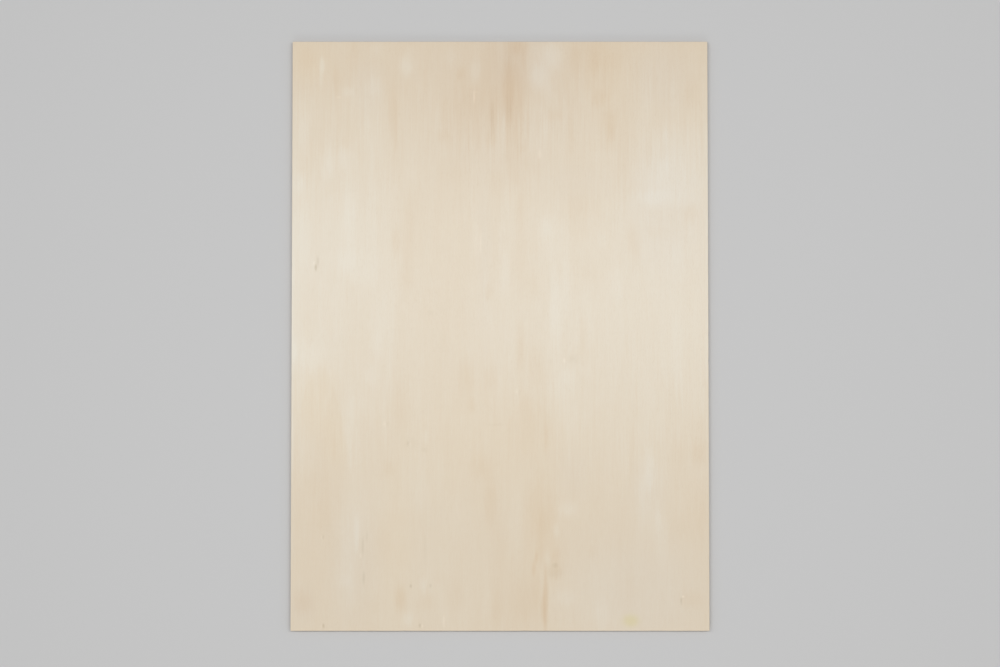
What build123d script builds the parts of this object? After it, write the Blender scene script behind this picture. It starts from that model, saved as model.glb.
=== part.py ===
"""A sheet of pale three-ply craft plywood, sawn to the A3 format, lying flat with its better face up.

Millimetres. The origin is the middle of the back face, X runs across the face grain, Y along it and
Z up through the plies. The glued plies are one solid, with the glue lines as seams on its sawn edges.
"""

from build123d import *
from build123d.topology import SkipClean
import os

# Driving dimensions
sheet_width = 297.0  # across the face grain
sheet_length = 420.0  # along the face grain
face_veneer = 1.2  # the back and the front ply, after sanding
crossband = 1.6  # the middle ply, whose grain runs across the sheet
arris_radius = 0.25  # sanding round where a face meets the sawn edges
corner_radius = 0.6  # the four upright corners, blunted by handling

# The sawn outline, which the three plies share
with BuildSketch() as sawn_outline:
    RectangleRounded(sheet_width, sheet_length, corner_radius)

# An outer ply, lying as the back of the sheet, with its outer arris sanded round
with BuildPart() as face_ply:
    with BuildSketch():
        add(sawn_outline.sketch)
    extrude(amount=face_veneer)
    back_face = face_ply.faces().sort_by(Axis.Z).first
    fillet(back_face.edges(), radius=arris_radius)

# The sheet: the back ply, the crossband glued on it, and the front ply as the back ply's mirror image.
# They fuse to one solid, and their sawn edges aren't merged, so that each glue line stays a seam.
mid_plane = Plane.XY.offset(face_veneer + crossband / 2)
with SkipClean(), BuildPart() as plywood_sheet:
    add(face_ply.part, clean=False)
    with BuildSketch(Plane.XY.offset(face_veneer)):
        add(sawn_outline.sketch)
    extrude(amount=crossband, clean=False)
    add(mirror(face_ply.part, about=mid_plane, mode=Mode.PRIVATE), clean=False)

plywood_sheet.part.label = "plywood_sheet"

os.makedirs("parts", exist_ok=True)
export_step(plywood_sheet.part, "parts/plywood_sheet.step")
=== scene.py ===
"""The finish of a sheet of three-ply craft plywood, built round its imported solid.

One closed mesh stands for the sheet: sanded faces with a few small dents, eased arrises and sawn edges
that show the plies. The materials are procedural wood, worked out from the place on the sheet. Lengths
are millimetres unless a name says otherwise: X runs across the face grain, Y along it, Z up through the
plies. A tone is a change in the logarithm of the wood's brightness: above 0 is paler, below 0 darker.
"""

from collections import namedtuple
import math
import random

import bmesh
import bpy
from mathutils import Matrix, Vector, noise
from mathutils.geometry import delaunay_2d_cdt


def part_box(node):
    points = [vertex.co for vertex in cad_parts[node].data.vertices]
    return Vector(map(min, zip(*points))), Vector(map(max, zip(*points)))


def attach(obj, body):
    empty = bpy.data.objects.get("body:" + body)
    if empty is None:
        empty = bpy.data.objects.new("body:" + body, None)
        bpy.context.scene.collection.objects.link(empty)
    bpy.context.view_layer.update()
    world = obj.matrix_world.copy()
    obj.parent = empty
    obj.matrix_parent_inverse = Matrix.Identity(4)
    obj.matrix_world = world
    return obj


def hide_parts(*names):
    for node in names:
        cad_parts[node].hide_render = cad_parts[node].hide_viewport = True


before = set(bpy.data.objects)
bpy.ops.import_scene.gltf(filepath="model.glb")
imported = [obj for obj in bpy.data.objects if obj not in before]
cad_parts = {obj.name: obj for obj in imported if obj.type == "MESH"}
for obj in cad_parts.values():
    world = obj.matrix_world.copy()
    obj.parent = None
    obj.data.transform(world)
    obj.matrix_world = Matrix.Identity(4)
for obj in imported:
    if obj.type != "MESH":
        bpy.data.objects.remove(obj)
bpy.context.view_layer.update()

MM = 0.001
SHEET_NODE = "plywood_sheet"
sheet_low, sheet_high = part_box(SHEET_NODE)
HALF_WIDTH = (sheet_high.x - sheet_low.x) / 2 / MM
HALF_LENGTH = (sheet_high.y - sheet_low.y) / 2 / MM
THICKNESS = (sheet_high.z - sheet_low.z) / MM

# The section: two face plies of one thickness and the crossband between them
FACE_PLY = 1.2
GLUE_LINES = (FACE_PLY, THICKNESS - FACE_PLY)
ARRIS_RADIUS = 0.25
CORNER_RADIUS = 0.6
CORNER_STEPS = 4

# The sawn edges: how deep cut and lying fibres are torn, the saw's ripple, sunk glue lines and bruises
CUT_TEAR = 0.045
LYING_TEAR = 0.012
RIPPLE_DEPTH = 0.010
RIPPLE_PITCH = 3.1
RIPPLE_LEAN = 0.35
GLUE_SINK = 0.045
NICKS_ON_A_SIDE = 9
NICK_HEIGHT = 0.4

# The bake map's strips: where each starts up the map, and its height. The edges' strips are stacked.
BAKE_MARGIN = 0.006
FRONT_STRIP = (0.438, 0.556)
BACK_STRIP = (0.160, 0.266)
EDGE_STRIP = (0.006, 0.030)
EDGE_STRIP_STEP = 0.038

# Wood colours as linear light, and how far a tone moves each channel
FRONT_WOOD = (0.715, 0.6115, 0.470)
BACK_WOOD = (0.660, 0.555, 0.420)
EDGE_WOOD = (0.630, 0.520, 0.385)
TONE_PULL = (0.50, 1.09, 1.80)
DARKEST_TONE = -0.30
PALEST_TONE = 0.14
PORE_TONE = -0.03
GLUE_TONE = -0.22

# How far a warm patch and a fleck or a painted highlight move each channel, and how strong the veneers'
# figure is
WARM_PULL = (0.35, 0.0, -0.80)
MARK_PULL = (1.06, 1.18, 1.48)
FIGURE_STRENGTH = 1.18

# Material slots of the mesh. The front is shaded in regions, so that each has fewer patches to work out.
# The regions' slots follow from FRONT on.
BACK, LONG_EDGE, END_EDGE, FRONT = range(4)
REGION_COLUMNS = 2
REGION_ROWS = 4

# Seeds of the bruises and of each material's noise
NICK_SEED = 11
FRONT_SEED = 2
BACK_SEED = 47
LONG_EDGE_SEED = 71
END_EDGE_SEED = 83

Region = namedtuple("Region", "left right near far")
Patch = namedtuple("Patch", "x y half_width half_length tone")
Dent = namedtuple("Dent", "x y half_width half_length lean depth")
Nick = namedtuple("Nick", "side run half_length depth on_front")
Station = namedtuple("Station", "x y out_x out_y side run")

# The front veneer's figure: soft patches of darker wood
DARK_PATCHES = (
    # The far end as a whole, most of all its middle
    Patch(0, 212, 600, 62, -0.026),
    Patch(8, 182, 62, 52, -0.034),
    # The mineral streak at the far end, and the dull wood round it
    Patch(10.6, 172, 8.6, 34, -0.080),
    Patch(10, 130, 8, 14, -0.028),
    Patch(6, 178, 4.6, 21, -0.046),
    Patch(7.5, 157, 3.4, 8, -0.014),
    Patch(12.5, 207, 8, 6.5, -0.064),
    Patch(17.4, 198, 1.7, 8, -0.040),
    Patch(16, 133, 2.4, 3, -0.020),
    Patch(12, 112, 3, 6, -0.018),
    Patch(23, 122, 7, 10, -0.018),
    Patch(8, 114, 8, 12, -0.014),
    Patch(-6, 190, 7, 26, -0.037),
    Patch(-3, 162, 5, 14, -0.032),
    Patch(-5.8, 155, 1.9, 10, -0.052),
    Patch(-6, 141, 4, 6, -0.034),
    Patch(-20, 163, 13, 26, -0.034),
    Patch(-33, 150, 8, 22, -0.014),
    Patch(-28, 187, 3, 5, -0.032),
    Patch(-40, 158, 2.6, 18, -0.026),
    Patch(-41, 142, 4.5, 5, -0.030),
    # Streaks across the rest of the far end
    Patch(-138, 198, 5, 10, -0.024),
    Patch(-104, 200, 5, 12, -0.022),
    Patch(-117, 182, 3, 11, -0.036),
    Patch(-129, 124, 4, 20, -0.020),
    Patch(-120, 105, 2.5, 8, -0.020),
    Patch(-112, 136, 2.2, 6, -0.020),
    Patch(-76, 160, 3, 20, -0.036),
    Patch(-73, 128, 6, 26, -0.020),
    Patch(-34, 116, 10, 10, -0.013),
    Patch(40, 157, 5, 4, -0.024),
    Patch(50, 140, 5, 14, -0.016),
    Patch(54, 197, 3, 12, -0.027),
    Patch(70, 202, 17, 14, -0.026),
    Patch(79, 185, 5, 18, -0.022),
    Patch(68, 197, 3.4, 12, -0.028),
    Patch(71.5, 169, 6.5, 7, -0.036),
    Patch(78.5, 154, 6.5, 8, -0.038),
    Patch(79.5, 144, 3.5, 6, -0.033),
    Patch(88, 135, 9, 30, -0.024),
    Patch(72, 138, 11, 14, -0.016),
    Patch(137, 173, 5, 12, -0.022),
    # Across the sheet above its middle
    Patch(45, 110, 52, 22, -0.020),
    Patch(56, 90, 10, 12, -0.020),
    Patch(58, 73, 8, 6, -0.014),
    Patch(94, 103, 3, 8, -0.018),
    Patch(-63, 90, 4, 14, -0.018),
    Patch(-4, 70, 5, 62, -0.013),
    Patch(-3, 110, 5, 9, -0.014),
    # The broad duller field left of the middle, and its rim
    Patch(-38, 60, 30, 72, -0.026),
    Patch(-28, 120, 30, 36, -0.014),
    Patch(-58, 78, 7, 24, -0.010),
    Patch(-74, 66, 3.4, 9, -0.036),
    Patch(-66, 70, 4, 36, -0.027),
    Patch(-67, 40, 6, 6, -0.012),
    Patch(-8, 30, 2.6, 6, -0.033),
    Patch(-38, -14, 6, 44, -0.010),
    Patch(-48, -30, 7, 22, -0.008),
    # The long band down the middle
    Patch(14, 90, 3.2, 14, -0.033),
    Patch(14, 55, 6, 26, -0.033),
    Patch(24, 66, 4, 14, -0.014),
    Patch(23, 36, 6, 11, -0.024),
    Patch(15, -8, 3.4, 18, -0.039),
    Patch(14, -20, 5, 14, -0.014),
    Patch(15.6, -46, 3.6, 11, -0.032),
    Patch(25, -24, 5.5, 16, -0.033),
    Patch(20.5, -68, 12, 24, -0.024),
    Patch(32.5, -74, 1.6, 11, -0.036),
    Patch(28.5, -126, 9, 27, -0.032),
    Patch(30, -134, 4, 11, -0.026),
    Patch(19, -138, 4.5, 36, -0.018),
    Patch(36, -135, 3, 22, -0.018),
    # The split and the brown core line at the near end, and the knot beside them
    Patch(25.5, -158, 1.3, 5, -0.055),
    Patch(24, -166, 1.6, 5.5, -0.060),
    Patch(26, -180, 3, 12, -0.028),
    Patch(18, -190, 10, 14, -0.022),
    Patch(8, -186, 18, 24, -0.014),
    Patch(32.5, -190, 1.7, 21, -0.104),
    Patch(29, -154, 4, 9, -0.026),
    Patch(30.6, -195, 1.6, 11, -0.050),
    Patch(39, -157, 2.8, 5, -0.030),
    Patch(39, -168, 5.5, 5, -0.024),
    Patch(41, -160, 7, 16, -0.022),
    # Right of the middle
    Patch(94.5, 66, 4.4, 14, -0.030),
    Patch(112, 73, 9, 5, -0.018),
    Patch(136, 86, 5, 6.5, -0.030),
    Patch(62, 46, 8, 11, -0.014),
    Patch(59.5, 2, 2.8, 11, -0.027),
    Patch(60, -12, 8, 8, -0.018),
    Patch(86, -150, 10, 22, -0.012),
    Patch(91, -182, 10, 16, -0.020),
    Patch(66, -154, 3.5, 5, -0.018),
    Patch(127, -52, 4, 12, -0.012),
    Patch(126, -85, 9, 11, -0.018),
    Patch(142, -84, 5.5, 9, -0.042),
    Patch(143, -66, 3, 9, -0.027),
    Patch(142, -126, 5, 21, -0.024),
    Patch(128, -137, 5.5, 11, -0.018),
    Patch(136, -188, 8, 6, -0.030),
    # Left of the middle, towards the near end
    Patch(-126, -33, 4.5, 12, -0.014),
    Patch(-125, -100, 9, 45, -0.016),
    Patch(-128, -130, 7, 11, -0.016),
    Patch(-139, -190, 7, 9, -0.045),
    Patch(-71, -52, 5, 18, -0.026),
    Patch(-24, -31, 6.5, 15, -0.042),
    Patch(-13, -30, 3.5, 22, -0.018),
    Patch(-29, -50, 5, 8, -0.014),
    Patch(-20, -51, 3, 6, -0.030),
    Patch(-6, -31, 3.4, 9, -0.027),
    Patch(-79, -95, 4, 5.5, -0.024),
    Patch(-133, -107, 5, 8, -0.016),
    Patch(-13, -94, 9, 9, -0.026),
    Patch(-7, -120, 4.5, 16, -0.034),
    Patch(0, -152, 4, 18, -0.014),
    Patch(-3, -196, 3.6, 15, -0.024),
    Patch(-83, -148, 4.5, 11, -0.012),
    Patch(-67, -131, 11, 6, -0.010),
    Patch(-70.6, -188, 4.4, 9, -0.060),
    Patch(-52, -190, 6, 6, -0.024),
    Patch(-88, -192, 6, 6, -0.014),
    Patch(-32, -184, 7, 14, -0.024),
    Patch(-42, -172, 4, 5, -0.014),
)

# Soft patches of paler wood, and painted highlights: the pale band across the middle and the pale rims of
# the left and the right side
PALE_PATCHES_AND_HIGHLIGHTS = (
    # A painted highlight: across the middle the whole sheet is a little paler, where the lamps' gloss band
    # crosses it
    Patch(0, 40, 600, 118, 0.045),
    # Broad paler fields
    Patch(-122, 76, 32, 46, 0.024),
    Patch(-122, 0, 14, 52, 0.014),
    Patch(-146, 20, 7, 110, 0.022),
    Patch(-132, -62, 13, 58, 0.022),
    Patch(-140, -86, 9, 20, 0.012),
    Patch(118, 0, 44, 80, 0.016),
    Patch(54, 2, 12, 34, 0.016),
    Patch(40, -10, 6, 40, 0.016),
    Patch(45, -38, 11, 8, 0.018),
    Patch(72, -72, 24, 28, 0.016),
    Patch(-52, -185, 44, 34, 0.022),
    Patch(82, -192, 44, 40, 0.022),
    Patch(-30, -132, 12, 20, 0.014),
    Patch(-70, -124, 26, 26, 0.012),
    Patch(-103, -128, 10, 26, 0.016),
    Patch(128, 138, 20, 12, 0.016),
    Patch(130, 128, 13, 8, 0.012),
    Patch(74, 128, 12, 4, 0.012),
    Patch(-48, 37, 7, 4, 0.012),
    Patch(104, -108, 6, 9, 0.014),
    # Painted highlights along the eased arrises of the left and the right side
    Patch(-148.3, -10, 1.7, 150, 0.036),
    Patch(147.8, 70, 1.3, 130, 0.018),
    # Beside the mineral streak
    Patch(37.5, 200, 7.5, 11, 0.064),
    Patch(28.5, 185, 7, 9.5, 0.062),
    Patch(34, 173, 4, 9, 0.030),
    Patch(26, 203, 4, 5, 0.012),
    Patch(30, 160, 5, 6, 0.014),
    Patch(33, 148, 3, 7, 0.024),
    Patch(-18, 188, 4.2, 9, 0.042),
    Patch(-36, 200, 3, 7, 0.026),
    Patch(-30, 198, 6, 10, 0.012),
    # Across the rest of the far end
    Patch(-66.5, 192.5, 5.5, 8, 0.060),
    Patch(-64, 203, 3.5, 4, 0.018),
    Patch(-88, 205, 5, 6, 0.027),
    Patch(-127, 192.5, 2, 6, 0.075),
    Patch(-128, 183, 1.4, 6, 0.031),
    Patch(-109, 174, 4, 3.5, 0.035),
    Patch(-106, 166, 8, 14, 0.014),
    Patch(-90, 177, 7, 7, 0.026),
    Patch(-91, 150, 9, 32, 0.018),
    Patch(-140, 160, 10, 14, 0.024),
    Patch(-140.5, 142, 4.5, 13, 0.028),
    Patch(62, 168, 5, 9, 0.020),
    Patch(104, 165, 5.5, 19, 0.015),
    Patch(124, 172, 2, 12, 0.020),
    # The long pale bands left of the middle
    Patch(-143, 108, 4, 8, 0.037),
    Patch(-124, 122, 5.5, 13, 0.033),
    Patch(-111, 126, 6, 9, 0.030),
    Patch(-108, 85, 4.5, 24, 0.027),
    Patch(-90, 84, 3.5, 26, 0.018),
    Patch(-108, 52, 9, 10, 0.032),
    Patch(-140, 70, 4.5, 20, 0.022),
    Patch(-100, 40, 6, 6, 0.018),
    Patch(-91, 45, 6, 14, 0.018),
    Patch(-79, 12, 5, 46, 0.018),
    Patch(-86, 12, 5.5, 18, 0.016),
    Patch(-87, -8, 4.5, 11, 0.020),
    Patch(-91, -30, 6.5, 10, 0.027),
    Patch(-97, -50, 11, 8, 0.012),
    Patch(-107, -72, 5.5, 32, 0.026),
    Patch(-108, -160, 7, 45, 0.027),
    Patch(-101.5, -140, 1.8, 15, 0.036),
    Patch(-111, -175, 4.5, 5, 0.020),
    Patch(-146, -10, 2.6, 12, 0.040),
    Patch(-136, -16, 8, 13, 0.033),
    Patch(-84, -118, 5, 14, 0.014),
    Patch(-55, -115, 6, 14, 0.014),
    Patch(-18, 84, 3.5, 36, 0.016),
    # The pale band right of the middle
    Patch(33, 77, 4, 8, 0.025),
    Patch(38, 66, 9, 16, 0.015),
    Patch(40, 22, 4.5, 26, 0.035),
    Patch(47.5, 36, 2.4, 22, 0.025),
    Patch(47.5, -29, 5.5, 7, 0.028),
    Patch(49, -56, 8, 17, 0.018),
    Patch(48.5, -124, 7.5, 5.5, 0.036),
    Patch(39.5, -139, 2.4, 4.5, 0.040),
    Patch(33.6, -158, 1.8, 6, 0.028),
    Patch(46, -187, 7, 5.5, 0.026),
    # Towards the right edge
    Patch(122, 112, 24, 14, 0.033),
    Patch(120, 97, 22, 7, 0.020),
    Patch(118, 122, 3, 5.5, 0.022),
    Patch(118, 143, 2, 6.5, 0.025),
    Patch(108, 98, 11, 5.5, 0.022),
    Patch(73, 67, 3.5, 8, 0.015),
    Patch(83, 35, 4.2, 12, 0.022),
    Patch(126.5, 58, 3.5, 12, 0.015),
    Patch(127, -10, 5.5, 26, 0.022),
    Patch(107, -55, 5, 22, 0.018),
    Patch(113, -68, 4, 10, 0.016),
    Patch(106.5, -95, 3.8, 14, 0.050),
    Patch(101, -104, 4.5, 44, 0.030),
    Patch(115, -96, 4, 16, 0.020),
    Patch(109, -130, 7, 18, 0.018),
    Patch(112.5, -131, 1.8, 10, 0.024),
    Patch(116, -146, 4, 18, 0.022),
    Patch(72.5, -198, 6, 10, 0.022),
    # Small ones
    Patch(4, 42, 2.8, 15, 0.022),
    Patch(12, -130, 5.5, 24, 0.014),
    Patch(-53, -73, 2, 5, 0.025),
    Patch(-52, -97, 13, 18, 0.013),
    Patch(-54, -177, 3, 4.5, 0.027),
    Patch(-65, -201.5, 4, 5, 0.032),
    Patch(-10, -192, 2.8, 10, 0.015),
)

# Broad fields of warmer wood, whose tone is above 0, and of cooler wood
WARM_PATCHES = (
    Patch(8, 190, 72, 40, -0.030),
    Patch(15, 200, 26, 24, -0.034),
    Patch(0, 138, 60, 30, -0.018),
    Patch(-95, 178, 12, 22, -0.024),
    Patch(-104, -165, 16, 40, -0.026),
    Patch(55, 108, 30, 16, -0.016),
    Patch(-11, 60, 5, 50, -0.020),
    Patch(-138, 196, 16, 16, 0.024),
    Patch(75, 188, 16, 26, 0.018),
    Patch(118, 186, 22, 26, -0.036),
    Patch(120, 95, 32, 55, -0.034),
    Patch(-130, -46, 16, 28, 0.030),
    Patch(-118, -76, 9, 18, 0.018),
    Patch(-139, -192, 9, 14, -0.030),
    Patch(-74, -150, 12, 52, 0.020),
    Patch(-10, -76, 75, 40, 0.018),
    Patch(30, -142, 12, 42, 0.016),
    Patch(52, -98, 12, 18, -0.018),
    Patch(106, -114, 14, 20, -0.022),
    Patch(100, -182, 50, 42, -0.036),
)

# Pointed flames of darker wood: the place of the tip, which points along +Y, and the size behind it
FLAMES = (
    Patch(-128, -19, 18, 50, -0.012),
    Patch(21, -43, 15.5, 17, -0.010),
    Patch(78, -46, 22, 27, -0.008),
)

# Small sharp marks: splits, flecks, pin knots and bright fibres, with painted highlights and painted shade
# beside some. Their tone is a share of the colour.
FLECKS_AND_HIGHLIGHTS = (
    # The slanted split near the left edge, with a painted highlight on its left lip
    Patch(-129.9, 52.6, 1.0, 3.4, -0.090),
    Patch(-131.4, 48.0, 0.9, 2.6, -0.170),
    Patch(-132.7, 51.0, 0.7, 1.5, 0.070),
    # Dull threads in the mineral streak
    Patch(6.2, 163, 2.6, 10, -0.030),
    Patch(6.2, 194, 3.4, 14, -0.014),
    Patch(-5.8, 157, 1.4, 12, -0.030),
    # The knot near the brown core line
    Patch(39, -163.6, 2.2, 1.9, -0.080),
    Patch(39, -169, 5.0, 3.6, -0.032),
    # Bright fibres
    Patch(-18.6, 169.8, 0.7, 4.2, 0.090),
    Patch(-18.5, 173.8, 3.4, 0.8, 0.030),
    Patch(-115.5, 170, 1.8, 0.9, 0.045),
    Patch(-13.6, 66, 0.8, 8, 0.045),
    Patch(-16.5, 67, 2.6, 10, 0.018),
    Patch(28, 129, 1.4, 3, 0.045),
    # A painted highlight on a small bump
    Patch(-39.5, -203, 0.9, 4.4, 0.050),
    # Small bruises. Each pale spot beside a dark one is a painted highlight on a rim, and the dark one
    # beside it is the bruise's colour with painted shade in it.
    Patch(-50, 16, 1.6, 2, -0.022),
    Patch(-65.5, -77.5, 1.0, 2.0, -0.055),
    Patch(-64.0, -77.6, 0.7, 1.2, 0.030),
    Patch(-63, -78, 5, 4.6, -0.016),
    Patch(-54, -82, 2.4, 1.8, -0.030),
    Patch(-82, -63.4, 1.0, 1.6, 0.055),
    Patch(-80, -63.4, 1.0, 1.6, -0.030),
    Patch(-3, -64, 7, 1.0, -0.025),
    Patch(11.6, -40.6, 0.9, 1.6, 0.045),
    Patch(13.6, -40.6, 1.0, 1.8, -0.030),
    Patch(45.9, -18.3, 0.9, 1.8, 0.065),
    Patch(52, -18.2, 4, 3.2, -0.030),
    Patch(-63.3, -178.4, 0.9, 1.3, -0.120),
    Patch(-49, -178, 1.0, 1.5, -0.070),
    Patch(-125.3, -143.8, 0.7, 1.6, -0.060),
    Patch(-126.7, -143.8, 0.6, 1.4, 0.040),
    Patch(-125.0, -206.6, 0.9, 1.7, -0.140),
    Patch(-126.3, -206.6, 0.6, 1.3, 0.050),
    Patch(-56.8, -206.2, 0.9, 1.5, -0.110),
    Patch(-55.2, -206.6, 0.7, 1.2, 0.070),
    Patch(128.6, -189.0, 0.7, 2.6, -0.110),
    Patch(130.0, -185.7, 0.9, 0.8, 0.110),
    # Fine splits
    Patch(-97.4, -150, 0.9, 6.6, -0.065),
    Patch(-94.6, -143, 0.8, 4, -0.035),
    Patch(-98.7, -157, 0.8, 2.0, 0.035),
    Patch(-96.6, -172.6, 1.0, 4.6, -0.075),
    Patch(-53, -152, 1.3, 8.5, -0.022),
)

# A spot of yellow resin. Its tone is the share of the resin's colour.
RESIN_SPOT = Patch(93, -202.8, 5.6, 4.6, 0.80)
RESIN_COLOUR = (0.69, 0.60, 0.36)

# The back veneer's figure, in a plainer wood
BACK_PATCHES = (
    Patch(-60, 60, 26, 170, -0.050),
    Patch(-48, -40, 7, 120, -0.045),
    Patch(-66, 110, 4, 70, -0.055),
    Patch(30, -90, 18, 130, 0.050),
    Patch(84, 40, 22, 150, -0.036),
    Patch(92, 120, 5, 60, -0.060),
    Patch(78, -60, 3, 80, -0.050),
    Patch(120, -120, 14, 100, 0.045),
    Patch(-118, -60, 16, 140, 0.040),
    Patch(-112, 150, 9, 40, -0.045),
    Patch(6, 150, 8, 70, -0.045),
    # The brown rings and the dull wood round two pin knots
    Patch(52, 66, 6, 11, -0.060),
    Patch(52, 66, 2.5, 3.4, -0.100),
    Patch(-22, -132, 5, 9, -0.050),
    Patch(-22, -132, 2.0, 2.7, -0.090),
)

# The dark cores of the back's pin knots
BACK_FLECKS = (
    Patch(51.8, 66.2, 1.1, 1.4, -0.260),
    Patch(-22.1, -131.8, 0.9, 1.1, -0.230),
)

# The knots of both faces as the grain meets them: how far and how strongly it runs round each
FRONT_KNOTS = (Patch(39, -164, 4.6, 7.0, 0.75),)
BACK_KNOTS = (
    Patch(52, 66, 4.6, 8.0, 0.80),
    Patch(-22, -132, 3.8, 6.5, 0.80),
)

# Dents in the front face, each a slanted shallow bowl. Lean is X travelled for each Y.
DENTS = (
    Dent(-130.8, 50.4, 1.1, 5.2, 0.18, 0.16),
    Dent(51.8, -18.2, 2.2, 2.4, 0.0, 0.09),
    Dent(128.9, -188.6, 0.9, 2.8, 0.12, 0.12),
    Dent(-65.4, -77.5, 1.3, 1.9, 0.0, 0.09),
    Dent(-63.3, -178.4, 1.3, 1.5, 0.0, 0.09),
    Dent(-125.4, -143.8, 1.0, 1.7, 0.0, 0.09),
    Dent(-125.0, -206.6, 1.1, 1.8, 0.0, 0.10),
    Dent(39.0, -164.2, 2.6, 3.4, 0.0, 0.07),
)

# Streaks that run all over a veneer: width across the grain, length along it, octaves and strength
FRONT_STREAKS = (
    (26.0, 110.0, 2.0, 0.014),
    (8.0, 60.0, 2.0, 0.018),
    (2.6, 40.0, 2.0, 0.012),
    (0.8, 16.0, 2.0, 0.010),
    (0.32, 7.0, 1.0, 0.030),
)
BACK_STREAKS = (
    (26.0, 140.0, 2.0, 0.070),
    (8.0, 60.0, 2.0, 0.050),
    (2.6, 40.0, 2.0, 0.022),
    (0.8, 16.0, 2.0, 0.016),
    (0.32, 7.0, 1.0, 0.030),
)


def add_object(name, data):
    """A new object with this mesh, lamp or camera, in the scene."""
    made = bpy.data.objects.new(name, data)
    bpy.context.scene.collection.objects.link(made)
    return made


# The mesh

def side_length(side):
    """The length of a side of the sheet: 0 right, 1 far, 2 left, 3 near."""
    return 2 * (HALF_LENGTH if side % 2 == 0 else HALF_WIDTH)


def outline_stations(pitch):
    """Places round the sheet's outline, anticlockwise from the start of the right side.

    Each has its outward direction, its side (0 right, 1 far, 2 left, 3 near) and its run along that side.
    A side's run starts at the end of the corner before it and takes in the corner after it.
    """
    stations = []
    for side in range(4):
        angle = side * math.pi / 2
        reach, half_run = (HALF_WIDTH, HALF_LENGTH) if side % 2 == 0 else (HALF_LENGTH, HALF_WIDTH)
        straight = 2 * (half_run - CORNER_RADIUS)
        steps = round(straight / pitch)
        local = []
        for step in range(steps):
            run = straight * step / steps
            local.append((reach, run - straight / 2, 0.0, run))
        for step in range(CORNER_STEPS):
            turn = math.pi / 2 * step / CORNER_STEPS
            out = reach - CORNER_RADIUS + CORNER_RADIUS * math.cos(turn)
            along = straight / 2 + CORNER_RADIUS * math.sin(turn)
            local.append((out, along, turn, straight + CORNER_RADIUS * turn))
        for out, along, turn, run in local:
            x = out * math.cos(angle) - along * math.sin(angle)
            y = out * math.sin(angle) + along * math.cos(angle)
            stations.append(Station(x, y, math.cos(angle + turn), math.sin(angle + turn), side, run))
    return stations


def section_heights():
    """Heights of the rows of vertices up an edge, close together on the arrises and at the glue lines."""
    arris_steps = 4
    lower = []
    for step in range(arris_steps + 1):
        lower.append(ARRIS_RADIUS * (1 - math.cos(math.pi / 2 * step / arris_steps)))
    for share in (0.25, 0.5, 0.75, 0.93):
        lower.append(ARRIS_RADIUS + (FACE_PLY - ARRIS_RADIUS) * share)
    lower += [FACE_PLY - 0.03, FACE_PLY, FACE_PLY + 0.03]
    for share in (0.12, 0.45, 0.75):
        lower.append(FACE_PLY + (THICKNESS / 2 - FACE_PLY) * share)
    upper = [THICKNESS - height for height in reversed(lower)]
    return lower + [THICKNESS / 2] + upper


def make_nicks():
    """Small bruises along the arrises of the front and the back."""
    draw = random.Random(NICK_SEED)
    nicks = []
    for side in range(4):
        for _ in range(NICKS_ON_A_SIDE):
            run = draw.uniform(0.03, 0.97) * side_length(side)
            half_length = draw.uniform(0.8, 2.6)
            depth = draw.uniform(0.04, 0.16)
            nicks.append(Nick(side, run, half_length, depth, draw.random() < 0.5))
    return nicks


def edge_inset(station, height, nicks):
    """How far the sawn edge lies inside the outline here: its round, its plies, saw ripple and bruises."""
    from_face = min(height, THICKNESS - height)
    inset = 0.0
    if from_face < ARRIS_RADIUS:
        inset += ARRIS_RADIUS - math.sqrt(ARRIS_RADIUS**2 - (ARRIS_RADIUS - from_face) ** 2)
    else:
        in_crossband = GLUE_LINES[0] < height < GLUE_LINES[1]
        end_grain = in_crossband == (station.side % 2 == 0)
        spot = Vector((station.run * 0.45, height * 1.6, station.side * 7.0))
        tear = 0.5 + 0.5 * noise.noise(spot)
        inset += (CUT_TEAR if end_grain else LYING_TEAR) * (0.5 + tear)
        ripple_run = (station.run + RIPPLE_LEAN * height) / RIPPLE_PITCH
        inset += RIPPLE_DEPTH * (1 + math.sin(2 * math.pi * ripple_run + 2 * tear))
        if height in GLUE_LINES:
            inset += GLUE_SINK
    on_front = height > THICKNESS / 2
    for nick in nicks:
        along = (station.run - nick.run) / nick.half_length
        if nick.side == station.side and nick.on_front == on_front and abs(along) < 3:
            inset += nick.depth * math.exp(-(along**2) - (from_face / NICK_HEIGHT) ** 2)
    return inset


def dent_depth(x, y):
    """How far the front face is pressed in at this place."""
    depth = 0.0
    for dent in DENTS:
        along = (y - dent.y) / dent.half_length
        across = (x - dent.x - dent.lean * (y - dent.y)) / dent.half_width
        square = along * along + across * across
        if square < 1:
            depth += dent.depth * (1 - square) ** 2
    return depth


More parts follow.
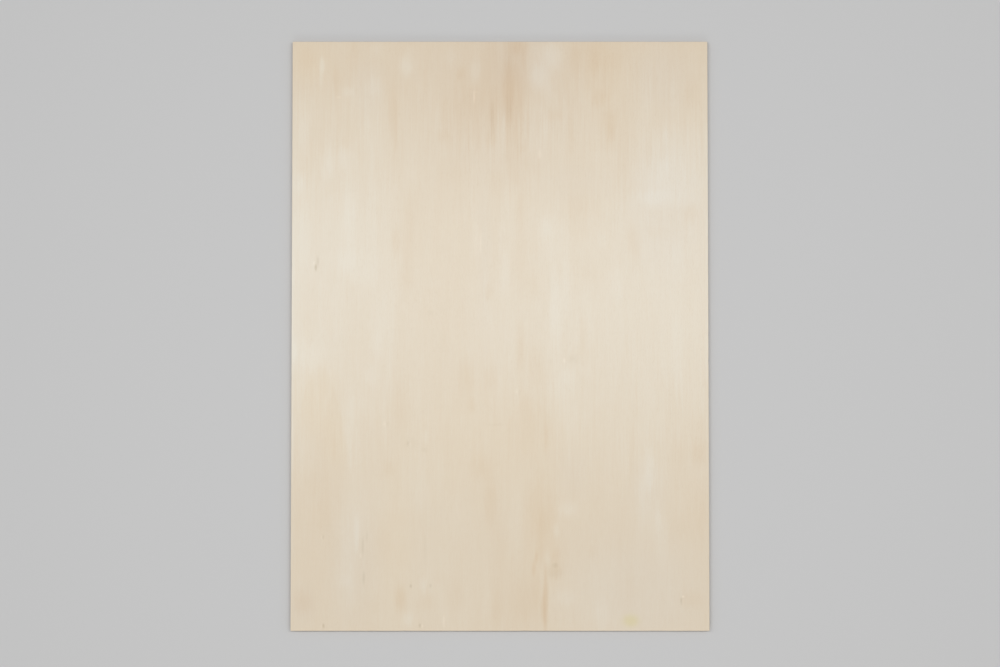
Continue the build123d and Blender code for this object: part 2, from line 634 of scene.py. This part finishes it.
def face_places(dents):
    """Places inside a face: rows that widen away from the border, a grid, and rings round each dent."""
    border_rows = ((1.6, 2.0), (4.5, 4.0))
    grid_pitch = 10.0
    grid_inset = 7.0
    dent_rings = 6
    ring_steps = 14
    places = []
    for inset, pitch in border_rows:
        across, along = HALF_WIDTH - inset, HALF_LENGTH - inset
        across_steps, along_steps = round(2 * across / pitch), round(2 * along / pitch)
        for step in range(across_steps):
            x = -across + 2 * across * step / across_steps
            places += [(x, -along), (-x, along)]
        for step in range(along_steps):
            y = -along + 2 * along * step / along_steps
            places += [(across, y), (-across, -y)]
    columns, rows = int(HALF_WIDTH / grid_pitch), int(HALF_LENGTH / grid_pitch)
    for column in range(-columns, columns + 1):
        for row in range(-rows, rows + 1):
            x, y = column * grid_pitch, row * grid_pitch
            if HALF_WIDTH - abs(x) > grid_inset and HALF_LENGTH - abs(y) > grid_inset:
                places.append((x, y))
    for dent in dents:
        clear = dent.half_length + 1.0
        places = [p for p in places if math.hypot(p[0] - dent.x, p[1] - dent.y) > clear]
    for dent in dents:
        places.append((dent.x, dent.y))
        for ring in range(1, dent_rings + 1):
            share = ring / dent_rings
            for step in range(ring_steps):
                turn = 2 * math.pi * (step + 0.5 * (ring % 2)) / ring_steps
                y = dent.y + dent.half_length * share * math.sin(turn)
                lean = dent.lean * (y - dent.y)
                places.append((dent.x + dent.half_width * share * math.cos(turn) + lean, y))
    return places


def fill_face(bm, border, height, dents, material):
    """Fills a face inside its border of vertices with triangles, pressed in where there are dents."""
    flat = [vertex.co.xy / MM for vertex in border] + [Vector(place) for place in face_places(dents)]
    rim = list(range(len(border)))
    points, _, triangles, sources, _, _ = delaunay_2d_cdt(flat, [], [rim], 1, 1e-4)
    vertices = []
    for point, source in zip(points, sources):
        if source[0] < len(border):
            vertices.append(border[source[0]])
        else:
            depth = dent_depth(point.x, point.y) if dents else 0.0
            vertices.append(bm.verts.new(Vector((point.x, point.y, height - depth)) * MM))
    up = height > THICKNESS / 2
    for triangle in triangles:
        corners = [vertices[index] for index in triangle]
        face = bm.faces.new(corners if up else corners[::-1])
        face.material_index = material
    for first, second in zip(border, border[1:] + border[:1]):
        bm.edges.get((first, second)).smooth = False


def bake_place(zone, side, x, y, z, run):
    """Where a point lies on the bake's map: front and back as they are, the four edges as strips."""
    across, rise = (x + HALF_WIDTH) / (2 * HALF_WIDTH), (y + HALF_LENGTH) / (2 * HALF_LENGTH)
    start, height = FRONT_STRIP if zone == FRONT else BACK_STRIP
    if zone not in (FRONT, BACK):
        across, rise = run / side_length(side), z / THICKNESS
        start, height = EDGE_STRIP
        start += side * EDGE_STRIP_STEP
    return BAKE_MARGIN + across * (1 - 2 * BAKE_MARGIN), start + rise * height


def region_index(x, y):
    """The index of the front's region that this place lies in."""
    column = int((x + HALF_WIDTH) / (2 * HALF_WIDTH) * REGION_COLUMNS)
    row = int((y + HALF_LENGTH) / (2 * HALF_LENGTH) * REGION_ROWS)
    return min(row, REGION_ROWS - 1) * REGION_COLUMNS + min(column, REGION_COLUMNS - 1)


def front_regions():
    """The front's regions, in the order of their indexes."""
    width, length = 2 * HALF_WIDTH / REGION_COLUMNS, 2 * HALF_LENGTH / REGION_ROWS
    regions = []
    for row in range(REGION_ROWS):
        for column in range(REGION_COLUMNS):
            left, near = column * width - HALF_WIDTH, row * length - HALF_LENGTH
            regions.append(Region(left, left + width, near, near + length))
    return regions


def reaching(patches, region):
    """The patches that show in a region, or in the halves of its border faces that lie outside it."""
    overlap = 12.0
    faded_across, faded_along = 2.3, 2.5
    found = []
    for patch in patches:
        across = faded_across * patch.half_width + overlap
        along = faded_along * patch.half_length + overlap
        in_columns = region.left - across < patch.x < region.right + across
        in_rows = region.near - along < patch.y < region.far + along
        if in_columns and in_rows:
            found.append(patch)
    return found


def make_sheet_mesh():
    """The whole sheet as one closed mesh, with its bake map and its grain map."""
    station_pitch = 1.25
    stations = outline_stations(station_pitch)
    heights = section_heights()
    nicks = make_nicks()
    bm = bmesh.new()
    bake_map = bm.loops.layers.uv.new("OFBake")
    grain_map = bm.loops.layers.uv.new("Grain")
    rows = []
    for height in heights:
        row = []
        for station in stations:
            inset = edge_inset(station, height, nicks)
            x = station.x - station.out_x * inset
            y = station.y - station.out_y * inset
            row.append(bm.verts.new(Vector((x, y, height)) * MM))
        rows.append(row)

    runs = {}
    for low_row, high_row, low, high in zip(rows, rows[1:], heights, heights[1:]):
        middle = (low + high) / 2
        for index, station in enumerate(stations):
            after = (index + 1) % len(stations)
            face = bm.faces.new((low_row[index], low_row[after], high_row[after], high_row[index]))
            next_run = stations[after].run
            if stations[after].side != station.side:
                next_run = station.run + CORNER_RADIUS * math.pi / 2 / CORNER_STEPS
            runs[face] = (station.side, (station.run, next_run, next_run, station.run))
            if middle < ARRIS_RADIUS / 3:
                face.material_index = BACK
            elif middle > THICKNESS - ARRIS_RADIUS / 3:
                face.material_index = FRONT
            else:
                face.material_index = LONG_EDGE if station.side % 2 == 0 else END_EDGE
    fill_face(bm, rows[0], 0.0, (), BACK)
    fill_face(bm, rows[-1], THICKNESS, DENTS, FRONT)

    for face in bm.faces:
        face.smooth = True
        side, face_runs = runs.get(face, (0, (0,) * 3))
        for loop, run in zip(face.loops, face_runs):
            x, y, z = loop.vert.co / MM
            loop[bake_map].uv = bake_place(face.material_index, side, x, y, z, run)
            loop[grain_map].uv = (x / HALF_WIDTH, y / HALF_LENGTH)
        if face.material_index == FRONT:
            middle = face.calc_center_median() / MM
            face.material_index += region_index(middle.x, middle.y)
    mesh = bpy.data.meshes.new("plywood_sheet_finish")
    bm.to_mesh(mesh)
    bm.free()
    return mesh


# The wood

class Wood:
    """A wood material under construction: its node tree, with short calls for the nodes it uses."""

    def __init__(self, name, colour):
        self.material = bpy.data.materials.new(name)
        self.material.use_nodes = True
        self.tree = self.material.node_tree
        self.shader = self.tree.nodes["Principled BSDF"]
        self.colour = colour
        coordinates = self.tree.nodes.new("ShaderNodeTexCoord")
        self.place = self.vector("SCALE", coordinates.outputs["Object"], scale=1 / MM)

    def node(self, kind, inputs, **settings):
        """A new node. Each input is a value, or a socket to link from."""
        made = self.tree.nodes.new(kind)
        for name, value in settings.items():
            setattr(made, name, value)
        for name, value in inputs.items():
            if isinstance(value, bpy.types.NodeSocket):
                self.tree.links.new(value, made.inputs[name])
            else:
                made.inputs[name].default_value = value
        return made

    def math(self, operation, *values):
        """A number worked out from up to three others."""
        made = self.node("ShaderNodeMath", dict(enumerate(values)), operation=operation)
        return made.outputs["Value"]

    def vector(self, operation, *values, scale=None):
        """A vector, or for a dot product a number, worked out from others."""
        inputs = dict(enumerate(values))
        if scale is not None:
            inputs["Scale"] = scale
        made = self.node("ShaderNodeVectorMath", inputs, operation=operation)
        return made.outputs["Value" if operation == "DOT_PRODUCT" else "Vector"]

    def streaks(self, place, size, octaves, seed):
        """Noise from 0 to 1 whose blots have this size. A size of None leaves that axis out."""
        scale = tuple(0.0 if length is None else 1 / length for length in size)
        shifted = self.vector("MULTIPLY_ADD", place, scale, (seed * 3.7, seed * 5.3, seed * 1.9))
        inputs = {"Vector": shifted, "Scale": 1.0, "Detail": octaves, "Roughness": 0.55}
        return self.node("ShaderNodeTexNoise", inputs, noise_dimensions="3D").outputs["Fac"]

    def centred(self, value, strength, total=0.0):
        """The total, plus a value from 0 to 1 that swings it by the strength either way."""
        return self.math("ADD", self.math("MULTIPLY_ADD", value, 2 * strength, -strength), total)

    def patch(self, place, patch, total, fringe=None):
        """The total, plus a soft rounded patch. A fringe moves its border by shares of the patch's size."""
        scale = (1 / patch.half_width, 1 / patch.half_length, 0)
        shift = (-patch.x / patch.half_width, -patch.y / patch.half_length, 0)
        local = self.vector("MULTIPLY_ADD", place, scale, shift)
        if fringe is not None:
            local = self.vector("ADD", local, fringe)
        hardness = 1.4
        distance = self.math("POWER", self.vector("DOT_PRODUCT", local, local), hardness)
        fall = self.math("POWER", math.exp(-1), distance)
        return self.math("MULTIPLY_ADD", fall, patch.tone, total)

    def flame(self, place, flame, total):
        """The total, plus a pointed flame that opens towards -Y and fades there."""
        scale = (1 / flame.half_width, -1 / flame.half_length, 0)
        shift = (-flame.x / flame.half_width, flame.y / flame.half_length, 0)
        local = self.vector("MULTIPLY_ADD", place, scale, shift)
        split = self.node("ShaderNodeSeparateXYZ", {"Vector": local})
        across, behind = split.outputs["X"], split.outputs["Y"]
        border = 0.15
        fade_start, fade_end = 0.9, 2.4
        inside = self.math("MULTIPLY_ADD", across, self.math("MULTIPLY", across, -1.0), behind)
        body = self.smooth_step(inside, 0.0, border)
        tail = self.smooth_step(behind, fade_end, fade_start)
        return self.math("MULTIPLY_ADD", self.math("MULTIPLY", body, tail), flame.tone, total)

    def stained(self, colour, share, stain):
        """The colour, with a share of a stain's colour in it."""
        mix = self.node("ShaderNodeMix", {0: share, 6: colour, 7: (*stain, 1.0)}, data_type="RGBA")
        return mix.outputs[2]

    def ramp(self, value, start, end):
        """A straight ramp from 0 at the start to 1 at the end."""
        made = self.node("ShaderNodeMapRange", {"Value": value, "From Min": start, "From Max": end})
        return made.outputs["Result"]

    def smooth_step(self, value, start, end):
        """A soft step from 0 at the start to 1 at the end."""
        inputs = {"Value": value, "From Min": start, "From Max": end}
        made = self.node("ShaderNodeMapRange", inputs, interpolation_type="SMOOTHSTEP")
        return made.outputs["Result"]

    def tone_colour(self, tone):
        """The wood's colour at this tone."""
        share = self.ramp(tone, DARKEST_TONE, PALEST_TONE)
        colours = self.node("ShaderNodeValToRGB", {"Fac": share})
        stops = colours.color_ramp.elements
        stop_count = 5
        while len(stops) < stop_count:
            stops.new(0.5)
        for index, stop in enumerate(stops):
            stop.position = index / (stop_count - 1)
            tone_here = DARKEST_TONE + (PALEST_TONE - DARKEST_TONE) * stop.position
            channels = [base * math.exp(pull * tone_here) for base, pull in zip(self.colour, TONE_PULL)]
            stop.color = (*channels, 1.0)
        return colours.outputs["Color"]

    def finish(self, colour, relief, relief_depth, roughness):
        """Links the colour, the fine relief and the roughness, and returns the material."""
        height = {"Height": relief, "Strength": 1.0, "Distance": relief_depth * MM}
        bump = self.node("ShaderNodeBump", height)
        self.tree.links.new(colour, self.shader.inputs["Base Color"])
        self.tree.links.new(bump.outputs["Normal"], self.shader.inputs["Normal"])
        self.tree.links.new(roughness, self.shader.inputs["Roughness"])
        return self.material


def wandering_place(wood, seed):
    """The place, moved a little sideways so that the grain wanders."""
    reach = 1.2
    wander = wood.streaks(wood.place, (40.0, 120.0, None), 1.0, seed)
    shift = wood.node("ShaderNodeCombineXYZ", {"X": wood.centred(wander, reach)})
    return wood.vector("ADD", wood.place, shift.outputs["Vector"])


def fibre_fringe(wood, seed):
    """How far single fibres carry a patch's border sideways and lengthways, in shares of the patch."""
    side_share, length_share = 0.34, 0.60
    sideways = wood.streaks(wood.place, (1.6, 24.0, None), 2.0, seed)
    lengthways = wood.streaks(wood.place, (1.3, 45.0, None), 2.0, seed + 1)
    shares = {"X": wood.centred(sideways, side_share), "Y": wood.centred(lengthways, length_share)}
    return wood.node("ShaderNodeCombineXYZ", shares).outputs["Vector"]


def veneer_streaks(wood, place, streaks, seed):
    """The tone of the veneer's streaks, from broad bands to single fibres."""
    tone = 0.0
    for index, (width, length, octaves, strength) in enumerate(streaks):
        blot = wood.streaks(place, (width, length, None), octaves, seed + index)
        tone = wood.centred(blot, strength, tone)
    return tone


def along_grain_gloss(wood):
    """Sanded fibres spread the gloss across the grain and keep it narrow along it."""
    tangent = wood.node("ShaderNodeTangent", {}, direction_type="UV_MAP", uv_map="Grain")
    wood.tree.links.new(tangent.outputs["Tangent"], wood.shader.inputs["Tangent"])
    wood.shader.inputs["Anisotropic"].default_value = 0.8


def round_knots(wood, place, knots):
    """The place as the grain sees it: fibres that would cross a knot run round its sides."""
    for knot in knots:
        near = wood.patch(place, knot, 0.0)
        aside = wood.vector("MULTIPLY_ADD", place, (-1, 0, 0), (knot.x, 0, 0))
        place = wood.vector("ADD", place, wood.vector("SCALE", aside, scale=near))
    return place


def fine_grain(wood, grain, seed):
    """The relief of sanded fibres and open pores, from 0 to 1."""
    fibres = wood.streaks(grain, (0.45, 9.0, None), 3.0, seed)
    pores = wood.streaks(grain, (0.22, 2.6, None), 1.0, seed + 1)
    return fibres, wood.ramp(pores, 0.62, 0.72)


def tinted(wood, place, colour, warm_patches, marks):
    """The colour, with warm and cool fields, brown or pale flecks, and painted highlights and shade in it.
    """
    warmth, mark_tone = 0.0, 0.0
    for patch in warm_patches:
        warmth = wood.patch(place, patch, warmth)
    # The front's marks hold painted highlights and painted shade beside small bruises
    for mark in marks:
        mark_tone = wood.patch(place, mark, mark_tone)
    channels = {}
    for axis, warm_pull, mark_pull in zip("XYZ", WARM_PULL, MARK_PULL):
        flecked = wood.math("MULTIPLY_ADD", mark_tone, mark_pull, 1.0)
        channels[axis] = wood.math("MULTIPLY_ADD", warmth, warm_pull, flecked)
    tint = wood.node("ShaderNodeCombineXYZ", channels)
    return wood.vector("MULTIPLY", colour, tint.outputs["Vector"])


def figured_tone(wood, place, grain, patches, flames, streaks, seed):
    """The tone of a veneer: its figure and any painted highlights among its patches, with fibres at the
    borders of the patches, and its streaks.
    """
    fringe = fibre_fringe(wood, seed + 5)
    figure = 0.0
    for flame in flames:
        figure = wood.flame(place, flame, figure)
    for patch in patches:
        figure = wood.patch(place, patch, figure, fringe)
    streaked = veneer_streaks(wood, grain, streaks, seed + 10)
    return wood.math("MULTIPLY_ADD", figure, FIGURE_STRENGTH, streaked)


def finish_veneer(wood, colour, fibres, open_pores):
    """A sanded face: the relief of fibres and pores, and a gloss that follows the grain."""
    relief_depth = 0.03
    relief = wood.math("SUBTRACT", fibres, open_pores)
    roughness = wood.math("MULTIPLY_ADD", fibres, 0.12, 0.44)
    along_grain_gloss(wood)
    return wood.finish(colour, relief, relief_depth, roughness)


def front_veneer(index, region):
    """One region of the front veneer. All regions share the same noise, so that no border shows."""
    wood = Wood(f"front_veneer_{index}", FRONT_WOOD)
    place = wandering_place(wood, FRONT_SEED)
    grain = round_knots(wood, place, reaching(FRONT_KNOTS, region))
    # These patches hold painted highlights too: the pale band across the middle and the pale side rims
    figure = reaching(DARK_PATCHES + PALE_PATCHES_AND_HIGHLIGHTS, region)
    flames = reaching(FLAMES, region)
    tone = figured_tone(wood, place, grain, figure, flames, FRONT_STREAKS, FRONT_SEED)
    fibres, open_pores = fine_grain(wood, grain, FRONT_SEED + 20)
    colour = wood.tone_colour(wood.math("MULTIPLY_ADD", open_pores, PORE_TONE, tone))
    for spot in reaching([RESIN_SPOT], region):
        colour = wood.stained(colour, wood.patch(place, spot, 0.0), RESIN_COLOUR)
    colour = tinted(wood, place, colour, reaching(WARM_PATCHES, region), reaching(FLECKS_AND_HIGHLIGHTS, region))
    return finish_veneer(wood, colour, fibres, open_pores)


def back_veneer():
    """The back veneer: a plainer, duller sheet of the same wood."""
    wood = Wood("back_veneer", BACK_WOOD)
    place = wandering_place(wood, BACK_SEED)
    grain = round_knots(wood, place, BACK_KNOTS)
    tone = figured_tone(wood, place, grain, BACK_PATCHES, (), BACK_STREAKS, BACK_SEED)
    fibres, open_pores = fine_grain(wood, grain, BACK_SEED + 20)
    colour = wood.tone_colour(wood.math("MULTIPLY_ADD", open_pores, PORE_TONE, tone))
    colour = tinted(wood, place, colour, (), BACK_FLECKS)
    return finish_veneer(wood, colour, fibres, open_pores)


def edge_size(run_axis, run, height):
    """The size of a blot on an edge, from its run along the edge and its height."""
    return (None, run, height) if run_axis == "Y" else (run, None, height)


def sawn_edge(name, run_axis, seed):
    """A sawn edge: plies by height, fibres lying or cut across, and thin brown glue lines."""
    wood = Wood(name, EDGE_WOOD)
    relief_depth = 0.05
    split = wood.node("ShaderNodeSeparateXYZ", {"Vector": wood.place})
    height = split.outputs["Z"]
    lying = wood.streaks(wood.place, edge_size(run_axis, 14.0, 0.16), 3.0, seed)
    cut = wood.streaks(wood.place, edge_size(run_axis, 0.30, 0.26), 2.0, seed + 1)
    saw = wood.streaks(wood.place, edge_size(run_axis, 1.1, 9.0), 2.0, seed + 2)
    from_middle = wood.math("ABSOLUTE", wood.math("SUBTRACT", height, THICKNESS / 2))
    half_crossband = THICKNESS / 2 - FACE_PLY
    blur = 0.03
    in_faces = wood.ramp(from_middle, half_crossband - blur, half_crossband + blur)
    lying_share = in_faces if run_axis == "Y" else wood.math("SUBTRACT", 1.0, in_faces)
    lying_tone = wood.centred(lying, 0.16, 0.05)
    cut_tone = wood.centred(cut, 0.30, -0.14)
    more_tone = wood.math("SUBTRACT", lying_tone, cut_tone)
    tone = wood.centred(saw, 0.10, wood.math("MULTIPLY_ADD", more_tone, lying_share, cut_tone))
    from_glue = wood.math("ABSOLUTE", wood.math("SUBTRACT", from_middle, half_crossband))
    tone = wood.math("MULTIPLY_ADD", wood.ramp(from_glue, 3 * blur, blur), GLUE_TONE, tone)
    relief = wood.math("MULTIPLY_ADD", saw, 0.6, wood.math("ADD", lying, cut))
    roughness = wood.math("MULTIPLY_ADD", cut, 0.15, 0.66)
    return wood.finish(wood.tone_colour(tone), relief, relief_depth, roughness)


def long_edge():
    """The edges along the face grain, which cut across the crossband's fibres."""
    return sawn_edge("long_edge", "Y", LONG_EDGE_SEED)


def end_edge():
    """The edges across the face grain, which cut across the face plies' fibres."""
    return sawn_edge("end_edge", "X", END_EDGE_SEED)


def make_sheet():
    """The finished sheet, in the place of its solid."""
    sheet = add_object("plywood_sheet_finish", make_sheet_mesh())
    materials = [back_veneer(), long_edge(), end_edge()]
    for index, region in enumerate(front_regions()):
        materials.append(front_veneer(index, region))
    for material in materials:
        sheet.data.materials.append(material)
    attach(sheet, "root")
    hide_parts(SHEET_NODE)


# The studio, in metres

def floor_grey():
    """A matt pale grey for the floor."""
    material = bpy.data.materials.new("floor_grey")
    material.use_nodes = True
    shader = material.node_tree.nodes["Principled BSDF"]
    shader.inputs["Base Color"].default_value = (0.57, 0.57, 0.57, 1.0)
    shader.inputs["Roughness"].default_value = 0.9
    shader.inputs["Specular IOR Level"].default_value = 0.2
    return material


def make_floor():
    """A wide pale floor at the height that the sheet lies on."""
    reach = 8.0
    mesh = bpy.data.meshes.new("floor")
    corners = [(-reach, -reach, 0), (reach, -reach, 0), (reach, reach, 0), (-reach, reach, 0)]
    mesh.from_pydata(corners, [], [(0, 1, 2, 3)])
    floor = add_object("floor", mesh)
    mesh.materials.append(floor_grey())


def make_lamp(name, place, target, size, power):
    """A soft rectangular lamp that shines on the target and isn't seen itself."""
    data = bpy.data.lights.new(name, "AREA")
    data.shape = "RECTANGLE"
    data.size, data.size_y = size
    data.energy = power
    lamp = add_object(name, data)
    lamp.location = place
    lamp.rotation_euler = (Vector(target) - Vector(place)).to_track_quat("-Z", "Y").to_euler()
    lamp.visible_camera = False


def make_lights():
    """A strip lamp, whose gloss crosses the middle of the sheet, a near lamp, two soft suns and a fill."""
    make_lamp("strip_lamp", (0.0, 0.139, 1.40), (0.0, 0.045, 0.0), (1.6, 0.12), 11.0)
    make_lamp("near_lamp", (0.0, -1.20, 0.90), (0.0, -0.10, 0.0), (1.2, 0.6), 3.0)
    for name, side in (("left_sun", -1), ("right_sun", 1)):
        data = bpy.data.lights.new(name, "SUN")
        data.energy = 0.36
        data.angle = math.radians(50)
        sun = add_object(name, data)
        sun.rotation_euler = (math.radians(-8), side * math.radians(45), 0.0)
    world = bpy.data.worlds.new("studio")
    bpy.context.scene.world = world
    world.use_nodes = True
    background = world.node_tree.nodes["Background"]
    background.inputs["Color"].default_value = (1.0, 1.0, 1.0, 1.0)
    background.inputs["Strength"].default_value = 0.30


def make_camera():
    """A camera that looks down on the sheet, a little from its near end."""
    distance = 1.385
    tilt = math.radians(2.01)
    aim = Vector((0.0, 0.0009, THICKNESS * MM))
    data = bpy.data.cameras.new("camera")
    data.lens = 70.0
    data.sensor_width = 36.0
    camera = add_object("camera", data)
    camera.location = aim + distance * Vector((0.0, -math.sin(tilt), math.cos(tilt)))
    camera.rotation_euler = (tilt, 0.0, 0.0)
    bpy.context.scene.camera = camera


make_sheet()
make_floor()
make_lights()
make_camera()
bpy.context.scene.view_settings.view_transform = "Standard"
